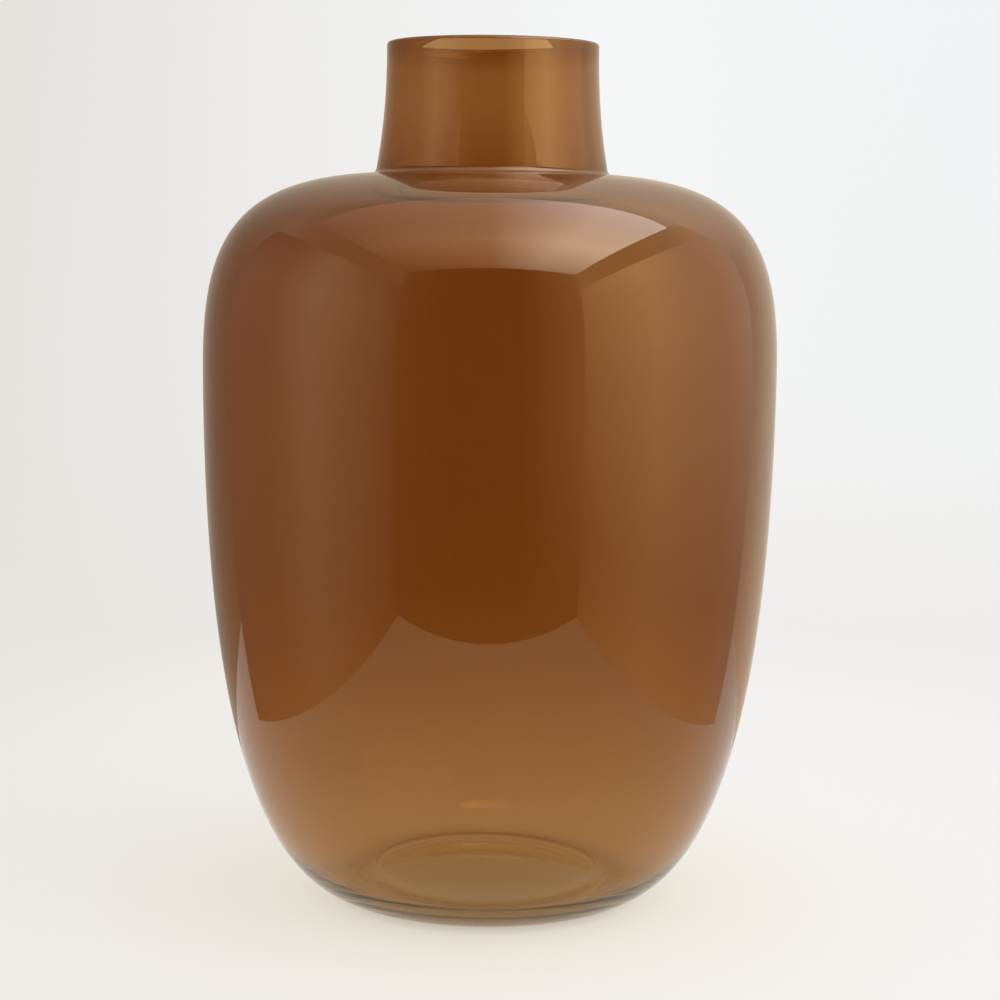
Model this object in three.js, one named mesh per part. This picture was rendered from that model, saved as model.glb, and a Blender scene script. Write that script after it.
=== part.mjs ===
// A mould-blown amber glass vase: a tall rounded body, a flat shoulder and a short neck that narrows a
// little towards the mouth.
// It is one continuous piece of glass, so the model is one solid of revolution about Z.
// Millimetres, +Z up, origin on the surface it stands on, at the centre of the foot.

import * as THREE from "three";

// Driving dimensions of the outer face.
const HEIGHT = 250;
const FOOT_RADIUS = 36;
const BELLY_RADIUS = 83.5;
const BELLY_HEIGHT = 156.8;
const SHOULDER_HEIGHT = 212.6;
const NECK_BASE_RADIUS = 33.7;
const RIM_RADIUS = 30.6;
const NECK_FILLET = 1.5;

// How far each curve runs on in its end direction before it turns: its Bézier handles. The shoulder's
// handle also drops a little, because the shoulder falls away from the neck.
const HEEL_REACH = 36.5;
const LOWER_BODY_REACH = 84.6;
const UPPER_BODY_REACH = 35.4;
const SHOULDER_REACH = 41.4;
const SHOULDER_DROP = 2.4;

// The glass: thick in the floor, thinning quickly round the heel, with a fire-polished rim.
const FLOOR_THICKNESS = 8;
const BODY_WALL = 2.4;
const NECK_WALL = 1.8;
const HEEL_FADE = 3;
const SHOULDER_FADE = 6;

// The underside: a shallow push-up inside a flat resting ring, repeated more softly on the floor inside.
const PUSH_UP_RADIUS = 31.5;
const PUSH_UP_HEIGHT = 4;
const FLOOR_RADIUS = 32.7;
const FLOOR_RISE = 2.5;

// Facets.
const TURN_SEGMENTS = 60;
const LOWER_BODY_STEPS = 11;
const UPPER_BODY_STEPS = 8;
const FILLET_STEPS = 3;
const NECK_STEPS = 4;
const RIM_STEPS = 4;
const DOME_STEPS = 3;

const GLASS_COLOUR = 0x8a4a1c;

const point = (radius, height) => new THREE.Vector2(radius, height);

// A curve that leaves and arrives along the given handles, as a list of points.
function sweep(start, startHandle, endHandle, end, steps) {
  return new THREE.CubicBezierCurve(start, startHandle, endHandle, end).getPoints(steps);
}

// A shallow dome from the axis out to a rim at the given radius, with a level crown.
function dome(radius, rimHeight, rise) {
  const heights = [];
  for (let step = 0; step <= DOME_STEPS; step += 1) {
    const share = step / DOME_STEPS;
    heights.push(point(radius * share, rimHeight + rise * (1 - share * share)));
  }
  return heights;
}

// The outer face from the resting ring's outer edge up to the rim, where the polished edge begins.
function outerFace() {
  const foot = point(FOOT_RADIUS, 0);
  const belly = point(BELLY_RADIUS, BELLY_HEIGHT);
  const corner = point(NECK_BASE_RADIUS, SHOULDER_HEIGHT);
  const shoulderEnd = point(NECK_BASE_RADIUS + NECK_FILLET, SHOULDER_HEIGHT);
  const neckRise = HEIGHT - SHOULDER_HEIGHT;
  const neckHandle = point((NECK_BASE_RADIUS + RIM_RADIUS) / 2, SHOULDER_HEIGHT + neckRise / 4);
  const neckStart = corner.clone().add(
    neckHandle.clone().sub(corner).setLength(NECK_FILLET),
  );
  const neckEnd = point(RIM_RADIUS, HEIGHT - NECK_WALL / 2);

  const lowerBody = sweep(
    foot,
    point(FOOT_RADIUS + HEEL_REACH, 0),
    point(BELLY_RADIUS, BELLY_HEIGHT - LOWER_BODY_REACH),
    belly,
    LOWER_BODY_STEPS,
  );
  const upperBody = sweep(
    belly,
    point(BELLY_RADIUS, BELLY_HEIGHT + UPPER_BODY_REACH),
    point(NECK_BASE_RADIUS + SHOULDER_REACH, SHOULDER_HEIGHT - SHOULDER_DROP),
    shoulderEnd,
    UPPER_BODY_STEPS,
  );
  const fillet = new THREE.QuadraticBezierCurve(shoulderEnd, corner, neckStart);
  const neck = sweep(
    neckStart,
    neckHandle,
    point(RIM_RADIUS, SHOULDER_HEIGHT + neckRise / 2),
    neckEnd,
    NECK_STEPS,
  );
  return [
    ...lowerBody,
    ...upperBody.slice(1),
    ...fillet.getPoints(FILLET_STEPS).slice(1),
    ...neck.slice(1),
  ];
}

// Glass thickness at a height on the outer face.
function wallAt(height) {
  const heel = (FLOOR_THICKNESS - BODY_WALL) * Math.exp(-height / HEEL_FADE);
  const intoNeck = THREE.MathUtils.smoothstep(
    height,
    SHOULDER_HEIGHT - SHOULDER_FADE,
    SHOULDER_HEIGHT + SHOULDER_FADE,
  );
  return THREE.MathUtils.lerp(BODY_WALL, NECK_WALL, intoNeck) + heel;
}

// The inner face: each point of the outer face moved into the glass, square to it, by the wall there.
function innerFace(outer) {
  return outer.map((here, index) => {
    const before = outer[Math.max(index - 1, 0)];
    const after = outer[Math.min(index + 1, outer.length - 1)];
    const along = after.clone().sub(before).normalize();
    if (index === 0) along.set(1, 0);
    if (index === outer.length - 1) along.set(0, 1);
    const wall = wallAt(here.y);
    return point(here.x - along.y * wall, here.y + along.x * wall);
  });
}

// The fire-polished edge: a half round from the outer face over to the inner face.
function rimRound() {
  const radius = NECK_WALL / 2;
  const centre = point(RIM_RADIUS - radius, HEIGHT - radius);
  const edge = [];
  for (let step = 1; step < RIM_STEPS; step += 1) {
    const angle = Math.PI * step / RIM_STEPS;
    edge.push(point(centre.x + radius * Math.cos(angle), centre.y + radius * Math.sin(angle)));
  }
  return edge;
}

// The whole section, from the axis underneath, round the outside and back to the axis inside.
function section() {
  const outer = outerFace();
  const inner = innerFace(outer).reverse();
  const underside = dome(PUSH_UP_RADIUS, 0, PUSH_UP_HEIGHT);
  const floor = dome(FLOOR_RADIUS, FLOOR_THICKNESS, FLOOR_RISE).reverse();
  return [...underside, ...outer, ...rimRound(), ...inner, ...floor];
}

// LatheGeometry turns its section about Y, so the solid is tipped up to stand along Z.
function glassVessel() {
  const geometry = new THREE.LatheGeometry(section(), TURN_SEGMENTS);
  geometry.rotateX(Math.PI / 2);
  const material = new THREE.MeshStandardMaterial({
    color: GLASS_COLOUR,
    roughness: 0.04,
    metalness: 0,
    transparent: true,
    opacity: 0.55,
  });
  const mesh = new THREE.Mesh(geometry, material);
  mesh.name = "glass_vessel";
  return mesh;
}

const vase = new THREE.Group();
vase.add(glassVessel());

export default vase;
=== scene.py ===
"""A mould-blown amber glass vase on a pale floor, in plain soft light. Metres, +Z up."""

import math

import bpy
import numpy as np
from mathutils import Matrix, Vector, noise


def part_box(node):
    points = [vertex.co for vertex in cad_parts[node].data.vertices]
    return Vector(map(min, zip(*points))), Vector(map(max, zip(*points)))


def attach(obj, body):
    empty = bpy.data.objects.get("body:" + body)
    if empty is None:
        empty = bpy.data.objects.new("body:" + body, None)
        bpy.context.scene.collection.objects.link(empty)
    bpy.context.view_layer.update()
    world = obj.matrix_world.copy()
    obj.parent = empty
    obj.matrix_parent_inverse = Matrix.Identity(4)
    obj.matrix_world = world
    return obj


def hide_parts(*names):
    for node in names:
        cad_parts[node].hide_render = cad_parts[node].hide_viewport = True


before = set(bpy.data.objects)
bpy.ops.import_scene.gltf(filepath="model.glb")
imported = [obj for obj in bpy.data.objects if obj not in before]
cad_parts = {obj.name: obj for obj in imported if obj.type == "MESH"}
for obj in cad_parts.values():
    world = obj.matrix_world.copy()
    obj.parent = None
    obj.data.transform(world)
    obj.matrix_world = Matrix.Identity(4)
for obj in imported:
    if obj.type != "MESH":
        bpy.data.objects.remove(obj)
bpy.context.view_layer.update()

vessel_low, vessel_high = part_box("glass_vessel")
MM = 0.001

# ---------------------------------------------------------------- the vase's section
HEIGHT = vessel_high.z - vessel_low.z
BELLY_RADIUS = (vessel_high.x - vessel_low.x) / 2
BELLY_HEIGHT = 156.8 * MM
SHOULDER_HEIGHT = 212.6 * MM
FOOT_RADIUS = 36 * MM
NECK_BASE_RADIUS = 33.7 * MM
RIM_RADIUS = 30.6 * MM
NECK_FILLET = 1.5 * MM

# Bézier handles: how far each curve runs on before it turns.
HEEL_REACH = 36.5 * MM
LOWER_BODY_REACH = 84.6 * MM
UPPER_BODY_REACH = 35.4 * MM
SHOULDER_REACH = 41.4 * MM
SHOULDER_DROP = 2.4 * MM

# The glass itself. A small step runs round the inner floor.
FLOOR_THICKNESS = 8 * MM
BODY_WALL = 2.4 * MM
NECK_WALL = 1.8 * MM
HEEL_FADE = 3 * MM
SHOULDER_FADE = 6 * MM
PUSH_UP_RADIUS = 31.5 * MM
PUSH_UP_HEIGHT = 4 * MM
FLOOR_RADIUS = 32.7 * MM
FLOOR_RISE = 2.5 * MM
FLOOR_STEP = 0.6 * MM
FLOOR_STEP_WIDTH = 0.5 * MM

# How finely each stretch of the section, and the turn round the axis, is divided.
LOWER_BODY_STEPS = 64
UPPER_BODY_STEPS = 44
FILLET_STEPS = 8
NECK_STEPS = 24
RIM_STEPS = 14
DOME_STEPS = 26
FLOOR_STEP_STEPS = 8
TURN_SEGMENTS = 216


def bezier(start, start_handle, end_handle, end, steps):
    """Points of a cubic Bézier from start to end, both included."""
    t = np.linspace(0, 1, steps + 1)[:, None]
    a, b, c, d = (np.array(p, float) for p in (start, start_handle, end_handle, end))
    return (1 - t) ** 3 * a + 3 * (1 - t) ** 2 * t * b + 3 * (1 - t) * t * t * c + t ** 3 * d


def outer_face():
    """The outer face as (radius, height) rows, from the resting ring up to where the polished rim begins."""
    belly = (BELLY_RADIUS, BELLY_HEIGHT)
    corner = np.array((NECK_BASE_RADIUS, SHOULDER_HEIGHT))
    shoulder_end = corner + (NECK_FILLET, 0)
    rise = HEIGHT - SHOULDER_HEIGHT
    neck_handle = np.array(((NECK_BASE_RADIUS + RIM_RADIUS) / 2, SHOULDER_HEIGHT + rise / 4))
    lean = (neck_handle - corner) / np.linalg.norm(neck_handle - corner)
    neck_start = corner + lean * NECK_FILLET
    lower_body = bezier(
        (FOOT_RADIUS, 0),
        (FOOT_RADIUS + HEEL_REACH, 0),
        (BELLY_RADIUS, BELLY_HEIGHT - LOWER_BODY_REACH),
        belly,
        LOWER_BODY_STEPS,
    )
    upper_body = bezier(
        belly,
        (BELLY_RADIUS, BELLY_HEIGHT + UPPER_BODY_REACH),
        (NECK_BASE_RADIUS + SHOULDER_REACH, SHOULDER_HEIGHT - SHOULDER_DROP),
        shoulder_end,
        UPPER_BODY_STEPS,
    )
    into_fillet, out_of_fillet = (shoulder_end + 2 * corner) / 3, (neck_start + 2 * corner) / 3
    fillet = bezier(shoulder_end, into_fillet, out_of_fillet, neck_start, FILLET_STEPS)
    neck = bezier(
        neck_start,
        neck_handle,
        (RIM_RADIUS, SHOULDER_HEIGHT + rise / 2),
        (RIM_RADIUS, HEIGHT - NECK_WALL / 2),
        NECK_STEPS,
    )
    return np.vstack((lower_body, upper_body[1:], fillet[1:], neck[1:]))


def smooth_share(value, low, high):
    """0 below low, 1 above high, and an eased step between."""
    t = np.clip((value - low) / (high - low), 0, 1)
    return t * t * (3 - 2 * t)


def wall_at(height):
    """Glass thickness at a height on the outer face."""
    heel = (FLOOR_THICKNESS - BODY_WALL) * np.exp(-height / HEEL_FADE)
    into_neck = smooth_share(height, SHOULDER_HEIGHT - SHOULDER_FADE, SHOULDER_HEIGHT + SHOULDER_FADE)
    return BODY_WALL + (NECK_WALL - BODY_WALL) * into_neck + heel


def inner_face(outer):
    """The outer face moved square to itself into the glass, by the wall thickness there."""
    along = np.gradient(outer, axis=0)
    along[0] = (1, 0)
    along[-1] = (0, 1)
    along /= np.linalg.norm(along, axis=1)[:, None]
    wall = wall_at(outer[:, 1])[:, None]
    return outer + np.stack((-along[:, 1], along[:, 0]), 1) * wall


def rim_round():
    """The fire-polished edge, from the outer face over to the inner face."""
    angle = np.linspace(0, math.pi, RIM_STEPS + 1)[1:-1]
    radius = NECK_WALL / 2
    reach = RIM_RADIUS - radius + radius * np.cos(angle)
    return np.stack((reach, HEIGHT - radius + radius * np.sin(angle)), 1)


def dome(radius, rim_height, rise):
    """A shallow dome from the axis out to its rim."""
    share = np.linspace(0, 1, DOME_STEPS + 1)
    return np.stack((radius * share, rim_height + rise * (1 - share ** 2)), 1)


def floor_step():
    """The small step down from the heel to the inner floor."""
    return bezier(
        (FLOOR_RADIUS + FLOOR_STEP_WIDTH, FLOOR_THICKNESS),
        (FLOOR_RADIUS + FLOOR_STEP_WIDTH * 0.6, FLOOR_THICKNESS),
        (FLOOR_RADIUS + FLOOR_STEP_WIDTH * 0.4, FLOOR_THICKNESS - FLOOR_STEP),
        (FLOOR_RADIUS, FLOOR_THICKNESS - FLOOR_STEP),
        FLOOR_STEP_STEPS,
    )


def section():
    """The closed section, with for each row how much of the coat it carries and whether it is inside.

    The coat lies on the outer face and over the outer half of the rim. The step round the floor
    carries a trace of it as painted shade: a dark ring painted round the inner floor.
    """
    outer = outer_face()
    inner = inner_face(outer)[::-1]
    underside = dome(PUSH_UP_RADIUS, 0, PUSH_UP_HEIGHT)
    floor = dome(FLOOR_RADIUS, FLOOR_THICKNESS - FLOOR_STEP, FLOOR_RISE)[::-1]
    step = floor_step()
    rim = rim_round()
    rows = np.vstack((underside, outer, rim, inner, step, floor[1:]))
    inside_start = len(underside) + len(outer) + len(rim)
    step_start = inside_start + len(inner)
    coat = np.zeros(len(rows))
    coat[len(underside):len(underside) + len(outer) + len(rim) // 2] = 1
    # The step's trace of coat is painted shade: a dark ring painted round the inner floor.
    coat[step_start:step_start + len(step)] = np.sin(np.linspace(0, math.pi, len(step)))
    inside = np.arange(len(rows)) >= inside_start
    return rows, coat, inside


# ---------------------------------------------------------------- the vase's mesh
# The unevenness of blown glass on each face: its depth, the length that it varies over, and its seed.
OUTER_RIPPLE = (0.03 * MM, 32 * MM, 3.0)
INNER_RIPPLE = (0.25 * MM, 40 * MM, 7.0)
RIPPLE_START = 3 * MM
RIPPLE_END = HEIGHT - 4 * MM
ON_AXIS = 1e-7


def ripple(place, depth, length, seed):
    """Smooth unevenness of about the given depth either way, over about the given length."""
    return depth * noise.noise(Vector(place) / length + Vector((seed, 0, 0)))


def vessel_mesh():
    """The section turned about Z, with the slight unevenness of blown glass on both faces."""
    rows, coat, inside_rows = section()
    verts, rings, coat_and_painted_ring_of_verts = [], [], []
    turn = np.linspace(0, 2 * math.pi, TURN_SEGMENTS, endpoint=False)
    for (radius, height), coat_and_painted_ring, inside in zip(rows, coat, inside_rows):
        if radius < ON_AXIS:
            rings.append([len(verts)])
            verts.append((0, 0, height))
            coat_and_painted_ring_of_verts.append(coat_and_painted_ring)
            continue
        ring = []
        for angle in turn:
            place = (radius * math.cos(angle), radius * math.sin(angle), height)
            here = radius
            if RIPPLE_START < height < RIPPLE_END:
                here += ripple(place, *(INNER_RIPPLE if inside else OUTER_RIPPLE))
            ring.append(len(verts))
            verts.append((here * math.cos(angle), here * math.sin(angle), height))
            coat_and_painted_ring_of_verts.append(coat_and_painted_ring)
        rings.append(ring)
    faces = []
    for low, high in zip(rings, rings[1:]):
        for k in range(TURN_SEGMENTS):
            n = (k + 1) % TURN_SEGMENTS
            if len(low) == 1:
                faces.append((low[0], high[n], high[k]))
            elif len(high) == 1:
                faces.append((low[k], low[n], high[0]))
            else:
                faces.append((low[k], low[n], high[n], high[k]))
    mesh = bpy.data.meshes.new("glass_vessel_fine")
    mesh.from_pydata(verts, [], faces)
    mesh.attributes.new("coat", "FLOAT", "POINT").data.foreach_set("value", coat_and_painted_ring_of_verts)
    mesh.update()
    mesh.shade_smooth()
    return mesh


# ---------------------------------------------------------------- materials
GLASS_IOR = 1.5

# What a double pass through the full coat lets by, and how thickly the coat lies at each share of the
# height. It is thinnest at the foot, and thicker round the neck's base and at the lip.
COAT_COLOUR = (0.165, 0.036, 0.0035)
COAT_THICKNESS = (
    (0.0, 0.42), (0.1, 0.58), (0.2, 0.73), (0.3, 0.86), (0.42, 0.94), (0.75, 0.98),
    (0.84, 1.1), (0.862, 0.86), (0.93, 0.74), (0.975, 0.76), (0.985, 1.0),
)

# The coat has a faint lustre, so what it mirrors comes back warmer.
COAT_LUSTRE = (1.15, 1.02, 0.6, 1)

# The clear glass under the coat is faintly green in depth.
DEPTH_COLOUR = (0.84, 0.80, 0.42, 1)
DEPTH_DENSITY = 32

PAPER_COLOUR = (0.25, 0.25, 0.25, 1)
PAPER_ROUGHNESS = 0.9


def new_material(name):
    material = bpy.data.materials.new(name)
    material.use_nodes = True
    return material, material.node_tree.nodes, material.node_tree.links


def fill_ramp(ramp, stops):
    """Give a ramp its stops, as (place, colour) pairs in rising order."""
    elements = ramp.color_ramp.elements
    while len(elements) < len(stops):
        elements.new(0.5)
    for element, (place, colour) in zip(elements, stops):
        element.position = place
        element.color = (*colour, 1)


def coat_stops():
    """The coat's colour at each share of the height: the full coat's colour, raised to the thickness."""
    return [(place, [c ** thickness for c in COAT_COLOUR]) for place, thickness in COAT_THICKNESS]


def amber_glass():
    """Clear glass, faintly green in depth, with an amber coat outside that thins out towards the foot."""
    material, nodes, links = new_material("amber_glass")
    shader = nodes["Principled BSDF"]
    shader.inputs["Transmission Weight"].default_value = 1
    shader.inputs["Roughness"].default_value = 0
    shader.inputs["IOR"].default_value = GLASS_IOR
    shader.inputs["Specular Tint"].default_value = COAT_LUSTRE

    coordinates = nodes.new("ShaderNodeTexCoord")
    split = nodes.new("ShaderNodeSeparateXYZ")
    height = nodes.new("ShaderNodeMapRange")
    height.inputs["From Max"].default_value = HEIGHT
    ramp = nodes.new("ShaderNodeValToRGB")
    fill_ramp(ramp, coat_stops())
    coat = nodes.new("ShaderNodeAttribute")
    coat.attribute_name = "coat"
    tint = nodes.new("ShaderNodeMix")
    tint.data_type = "RGBA"
    tint.inputs["A"].default_value = (1, 1, 1, 1)
    links.new(coordinates.outputs["Object"], split.inputs["Vector"])
    links.new(split.outputs["Z"], height.inputs["Value"])
    links.new(height.outputs["Result"], ramp.inputs["Fac"])
    links.new(coat.outputs["Fac"], tint.inputs["Factor"])
    links.new(ramp.outputs["Color"], tint.inputs["B"])
    links.new(tint.outputs["Result"], shader.inputs["Base Color"])

    absorption = nodes.new("ShaderNodeVolumeAbsorption")
    absorption.inputs["Color"].default_value = DEPTH_COLOUR
    absorption.inputs["Density"].default_value = DEPTH_DENSITY
    links.new(absorption.outputs["Volume"], nodes["Material Output"].inputs["Volume"])
    return material


def grey(*pairs):
    """Ramp stops without colour, from (place, value) pairs."""
    return [(place, (value, value, value)) for place, value in pairs]


def tinted(colour):
    """The grade of a light that has one colour all over."""
    return (("X", -1, 1, ((0, colour), (1, colour))),)


def scaled(grades):
    """The same grades with their ranges turned from vase heights into metres."""
    return [(measure, start * HEIGHT, end * HEIGHT, stops) for measure, start, end, stops in grades]


def graded_colour(nodes, links, grades):
    """A colour that changes from place to place: the product of ramps, each over one measure of the place.

    Each grade is (measure, start, end, stops). The measure is X, Y, Z, or AWAY: the way from the origin.
    """
    coordinates = nodes.new("ShaderNodeTexCoord")
    split = nodes.new("ShaderNodeSeparateXYZ")
    away = nodes.new("ShaderNodeVectorMath")
    away.operation = "LENGTH"
    links.new(coordinates.outputs["Object"], split.inputs["Vector"])
    links.new(coordinates.outputs["Object"], away.inputs[0])
    result = None
    for measure, start, end, stops in grades:
        share = nodes.new("ShaderNodeMapRange")
        share.inputs["From Min"].default_value = start
        share.inputs["From Max"].default_value = end
        ramp = nodes.new("ShaderNodeValToRGB")
        fill_ramp(ramp, stops)
        source = away.outputs["Value"] if measure == "AWAY" else split.outputs[measure]
        links.new(source, share.inputs["Value"])
        links.new(share.outputs["Result"], ramp.inputs["Fac"])
        if result is None:
            result = ramp.outputs["Color"]
            continue
        both = nodes.new("ShaderNodeVectorMath")
        both.operation = "MULTIPLY"
        links.new(result, both.inputs[0])
        links.new(ramp.outputs["Color"], both.inputs[1])
        result = both.outputs["Vector"]
    return result


def matt_paper(name, grades):
    """Pale paper that glows as well as taking light from above; its glow follows the grades, which carry
    painted light and shade.
    """
    material, nodes, links = new_material(name)
    shader = nodes["Principled BSDF"]
    shader.inputs["Base Color"].default_value = PAPER_COLOUR
    shader.inputs["Roughness"].default_value = PAPER_ROUGHNESS
    shader.inputs["Specular IOR Level"].default_value = 0
    shader.inputs["Emission Strength"].default_value = 1
    links.new(graded_colour(nodes, links, grades), shader.inputs["Emission Color"])
    return material


def glow(name, strength, grades):
    """A light whose colour is graded from place to place."""
    material, nodes, links = new_material(name)
    nodes.remove(nodes["Principled BSDF"])
    emission = nodes.new("ShaderNodeEmission")
    emission.inputs["Strength"].default_value = strength
    links.new(graded_colour(nodes, links, grades), emission.inputs["Color"])
    links.new(emission.outputs["Emission"], nodes["Material Output"].inputs["Surface"])
    return material


# ---------------------------------------------------------------- the paper
# It runs back along the floor and then sweeps up behind the vase. These sizes are in metres.
PAPER_HALF_WIDTH = 4.0
PAPER_FRONT = -3.0
FLOOR_BACK = 1.2
SWEEP_RADIUS = 0.8
SWEEP_STEPS = 24
BACKDROP_TOP = 4.0
PAPER_GAP = 0.2 * MM

# The paper's glow, with painted light and shade in it: a painted shadow under the foot, painted warm light
# close by, and painted warmer light on the left.
PAPER_GLOW_AND_PAINTED_SHADE = (
    ("AWAY", 0, 2.4, (
        (0.0130, (0.34, 0.30, 0.22)),
        (0.02, (0.72, 0.68, 0.60)),
        (0.06, (0.70, 0.69, 0.67)),
        (0.2, (0.63, 0.61, 0.60)),
        (0.86, (0.68, 0.69, 0.70)),
    )),
    ("X", -2.3 * HEIGHT, 2.3 * HEIGHT, (
        (0.0, (0.80, 0.76, 0.71)),
        (0.6, (1.0, 1.0, 1.0)),
        (1.0, (0.94, 0.97, 0.96)),
    )),
)


def paper_strip(name, path, material):
    """A wide strip of paper along a path of (y, z) points."""
    sides = (-PAPER_HALF_WIDTH, PAPER_HALF_WIDTH)
    verts = [(x, y, z + vessel_low.z - PAPER_GAP) for y, z in path for x in sides]
    faces = [(2 * k, 2 * k + 1, 2 * k + 3, 2 * k + 2) for k in range(len(path) - 1)]
    mesh = bpy.data.meshes.new(name)
    mesh.from_pydata(verts, [], faces)
    mesh.shade_smooth()
    strip = bpy.data.objects.new(name, mesh)
    bpy.context.scene.collection.objects.link(strip)
    strip.data.materials.append(material)
    return strip


def build_paper():
    """The floor, and the backdrop that the glass doesn't mirror, because the tent stands before it."""
    paper = matt_paper("pale_paper", PAPER_GLOW_AND_PAINTED_SHADE)
    paper_strip("pale_floor", [(PAPER_FRONT, 0.0), (FLOOR_BACK, 0.0)], paper)
    bend = np.radians(np.linspace(0, 90, SWEEP_STEPS + 1))
    rise = [(FLOOR_BACK + SWEEP_RADIUS * math.sin(a), SWEEP_RADIUS * (1 - math.cos(a))) for a in bend]
    backdrop = paper_strip("backdrop", rise + [(FLOOR_BACK + SWEEP_RADIUS, BACKDROP_TOP)], paper)
    backdrop.visible_glossy = False


# ---------------------------------------------------------------- the light tent
# A soft tent round the vase: a panel on each side, a lit ceiling, a dim open front and a pale back, with
# the room beyond. These places are in vase heights.
TENT_HALF_WIDTH = 0.76
TENT_FRONT = -1.2
PANEL_BACK = 0.18
PANEL_TOP = 1.2
TENT_TOP = 1.43
CEILING_BACK = 0.06
TENT_BACK = 0.62
ROOM_REACH = 12
ROOM_FLOOR = -0.5

LEFT_PANEL_LIGHT = (
    ("Y", TENT_FRONT, PANEL_BACK, (
        (0.0, (0.26, 0.22, 0.19)),
        (0.55, (0.87, 0.74, 0.68)),
        (0.75, (0.43, 0.32, 0.25)),
        (1.0, (0.22, 0.18, 0.16)),
    )),
    ("Z", 0, PANEL_TOP, grey((0, 0.3), (0.3, 0.65), (0.75, 1), (1, 0.8))),
)
RIGHT_PANEL_LIGHT = (
    ("Y", TENT_FRONT, PANEL_BACK, (
        (0.0, (0.52, 0.35, 0.23)),
        (0.5, (0.87, 0.62, 0.45)),
        (0.8, (0.48, 0.33, 0.25)),
        (1.0, (0.33, 0.26, 0.22)),
    )),
    ("Z", 0, PANEL_TOP, grey((0, 0.3), (0.2, 0.33), (0.6, 0.8), (1, 1))),
)
CEILING_LIGHT = (
    ("X", -TENT_HALF_WIDTH, TENT_HALF_WIDTH, (
        (0.0, (0.16, 0.12, 0.11)),
        (0.5, (0.40, 0.27, 0.22)),
        (0.75, (0.88, 0.76, 0.84)),
        (1.0, (0.92, 0.82, 0.90)),
    )),
    ("Y", TENT_FRONT, CEILING_BACK, grey((0, 0.4), (0.45, 1), (1, 0.65))),
)
BACK_LIGHT = (
    ("X", -0.9, 0.9, ((0, (0.30, 0.28, 0.22)), (1, (0.90, 0.75, 0.58)))),
    ("Z", 0, 2.4, grey((0, 0.4), (0.45, 0.45), (0.8, 1))),
)
FRONT_LIGHT = (
    ("X", -TENT_HALF_WIDTH, TENT_HALF_WIDTH, (
        (0.0, (0.22, 0.19, 0.13)),
        (0.3, (0.04, 0.04, 0.04)),
        (0.65, (0.04, 0.04, 0.04)),
        (1.0, (0.78, 0.54, 0.33)),
    )),
    ("Z", 0, TENT_TOP, grey((0, 0.15), (0.35, 0.8), (1, 1))),
)
LEFT_GAP_LIGHT = tinted((0.87, 0.69, 0.58))
RIGHT_GAP_LIGHT = tinted((0.87, 0.64, 0.42))
ROOM_LIGHT = tinted((1, 1, 1))
WARM_ROOM_LIGHT = tinted((1, 0.95, 0.85))


def level(outline, height):
    """Corners on a level plane, from (x, y) pairs."""
    return [(x * HEIGHT, y * HEIGHT, height * HEIGHT) for x, y in outline]


def side_wall(x, outline):
    """Corners on an upright plane across X, from (y, z) pairs."""
    return [(x * HEIGHT, y * HEIGHT, z * HEIGHT) for y, z in outline]


def front_wall(y, outline):
    """Corners on an upright plane across Y, from (x, z) pairs."""
    return [(x * HEIGHT, y * HEIGHT, z * HEIGHT) for x, z in outline]


def square(low, high):
    """The four corners between two opposite ones."""
    (a, b), (c, d) = low, high
    return [(a, b), (c, b), (c, d), (a, d)]


def card(name, corners, grades, strength):
    """A flat glowing panel that stands out of sight: only reflections see it."""
    mesh = bpy.data.meshes.new(name)
    mesh.from_pydata([tuple(c) for c in corners], [], [tuple(range(len(corners)))])
    panel = bpy.data.objects.new(name, mesh)
    bpy.context.scene.collection.objects.link(panel)
    panel.data.materials.append(glow(name + "_glow", strength, scaled(grades)))
    panel.visible_camera = False
    panel.visible_diffuse = False
    panel.visible_transmission = False
    panel.visible_volume_scatter = False
    panel.visible_shadow = False


def build_tent():
    """The panels that the glass mirrors: the room first, and then the tent itself."""
    wall = square((-ROOM_REACH, ROOM_FLOOR), (ROOM_REACH, ROOM_REACH))
    roof = square((-ROOM_REACH, -ROOM_REACH), (ROOM_REACH, ROOM_REACH))
    card("room_left", side_wall(-ROOM_REACH, wall), ROOM_LIGHT, strength=0.25)
    card("room_right", side_wall(ROOM_REACH, wall), WARM_ROOM_LIGHT, strength=0.9)
    card("room_front", front_wall(-ROOM_REACH, wall), ROOM_LIGHT, strength=0.2)
    card("room_top", level(roof, ROOM_REACH), ROOM_LIGHT, strength=0.6)

    back = square((-ROOM_REACH, 0), (ROOM_REACH, ROOM_REACH))
    front = square((-TENT_HALF_WIDTH, 0), (TENT_HALF_WIDTH, TENT_TOP))
    side = square((TENT_FRONT, 0), (PANEL_BACK, PANEL_TOP))
    gap = square((TENT_FRONT, PANEL_TOP), (PANEL_BACK, TENT_TOP))
    ceiling = square((-TENT_HALF_WIDTH, TENT_FRONT), (TENT_HALF_WIDTH, CEILING_BACK))
    card("tent_back", front_wall(TENT_BACK, back), BACK_LIGHT, strength=2.5)
    card("tent_front", front_wall(TENT_FRONT, front), FRONT_LIGHT, strength=2)
    card("panel_left", side_wall(-TENT_HALF_WIDTH, side), LEFT_PANEL_LIGHT, strength=2)
    card("panel_right", side_wall(TENT_HALF_WIDTH, side), RIGHT_PANEL_LIGHT, strength=5)
    card("above_panel_left", side_wall(-TENT_HALF_WIDTH, gap), LEFT_GAP_LIGHT, strength=1)
    card("above_panel_right", side_wall(TENT_HALF_WIDTH, gap), RIGHT_GAP_LIGHT, strength=2.2)
    card("ceiling", level(ceiling, TENT_TOP), CEILING_LIGHT, strength=9)


# ---------------------------------------------------------------- soft light from all round, and a soft sun
WORLD_COLOUR = (1.0, 0.995, 0.985, 1)
WORLD_LIGHT = 0.86
SUN_LIGHT = 0.47
SUN_SPREAD = math.radians(50)
SUN_TURN = (math.radians(20), math.radians(38), 0)


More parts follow.
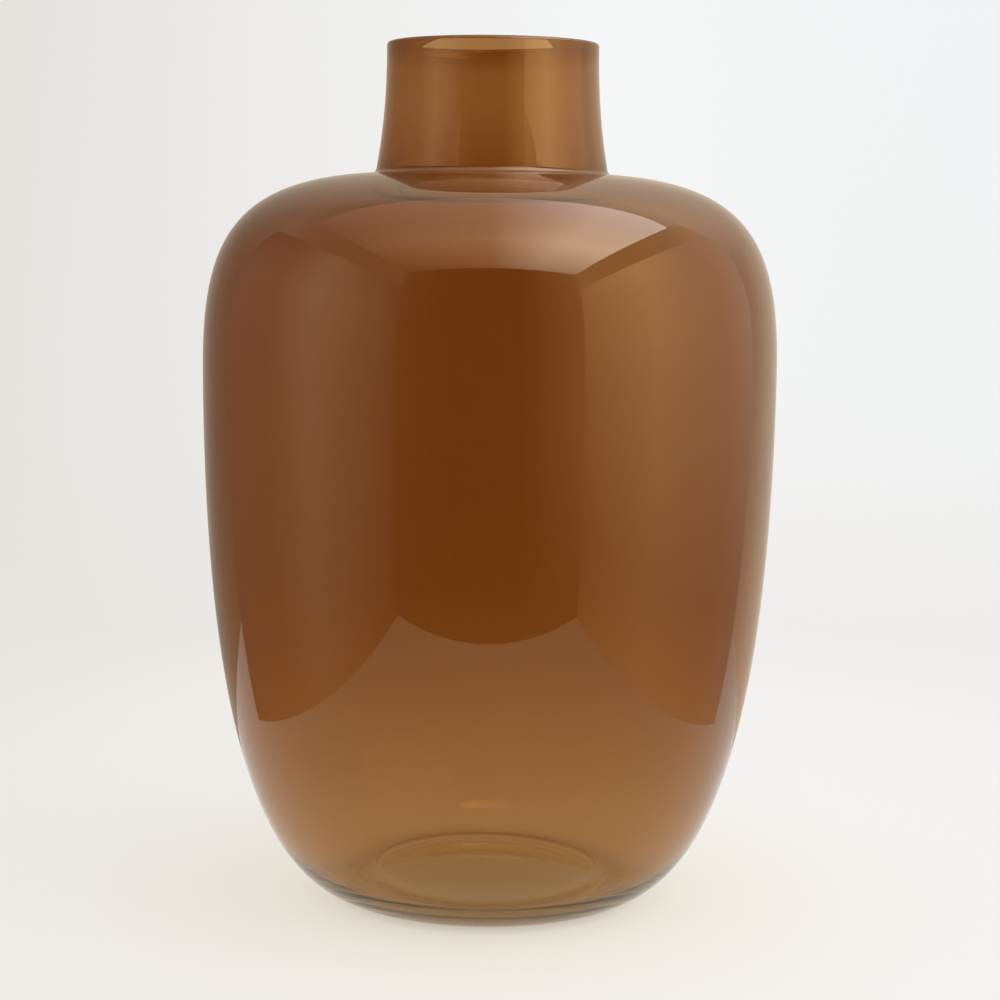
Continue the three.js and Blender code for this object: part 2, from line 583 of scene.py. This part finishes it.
def build_light():
    world = bpy.data.worlds.new("soft_light")
    bpy.context.scene.world = world
    world.use_nodes = True
    background = world.node_tree.nodes["Background"]
    background.inputs["Color"].default_value = WORLD_COLOUR
    background.inputs["Strength"].default_value = WORLD_LIGHT
    sun_data = bpy.data.lights.new("soft_key", "SUN")
    sun_data.energy = SUN_LIGHT
    sun_data.angle = SUN_SPREAD
    sun = bpy.data.objects.new("soft_key", sun_data)
    sun.rotation_euler = SUN_TURN
    sun.visible_glossy = False
    bpy.context.scene.collection.objects.link(sun)


# ---------------------------------------------------------------- the camera
# It stands in front (-Y), a little below the shoulder, and is rolled by about half a degree.
CAMERA_DISTANCE = 2.718 * HEIGHT
CAMERA_HEIGHT = 0.789 * HEIGHT
CAMERA_PITCH = math.radians(6.70)
CAMERA_YAW = math.radians(0.28)
CAMERA_ROLL = math.radians(0.60)
LENS = 83.5
SENSOR_WIDTH = 36


def build_camera():
    data = bpy.data.cameras.new("camera")
    data.lens = LENS
    data.sensor_width = SENSOR_WIDTH
    data.clip_start = 0.05
    data.clip_end = 100
    camera = bpy.data.objects.new("camera", data)
    bpy.context.scene.collection.objects.link(camera)
    camera.matrix_world = (
        Matrix.Translation((0, -CAMERA_DISTANCE, vessel_low.z + CAMERA_HEIGHT))
        @ Matrix.Rotation(-CAMERA_YAW, 4, "Z")
        @ Matrix.Rotation(math.pi / 2 - CAMERA_PITCH, 4, "X")
        @ Matrix.Rotation(CAMERA_ROLL, 4, "Z")
    )
    bpy.context.scene.camera = camera


# ---------------------------------------------------------------- build
# Light bounces many times inside the thick floor and heel before it finds a way out.
LIGHT_BOUNCES = 48

build_camera()
build_paper()
build_tent()
build_light()

vessel = bpy.data.objects.new("glass_vessel_fine", vessel_mesh())
bpy.context.scene.collection.objects.link(vessel)
vessel.data.materials.append(amber_glass())
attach(vessel, "root")
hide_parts("glass_vessel")

scene = bpy.context.scene
scene.view_settings.view_transform = "Standard"
scene.cycles.max_bounces = LIGHT_BOUNCES
scene.cycles.glossy_bounces = LIGHT_BOUNCES
scene.cycles.transmission_bounces = LIGHT_BOUNCES
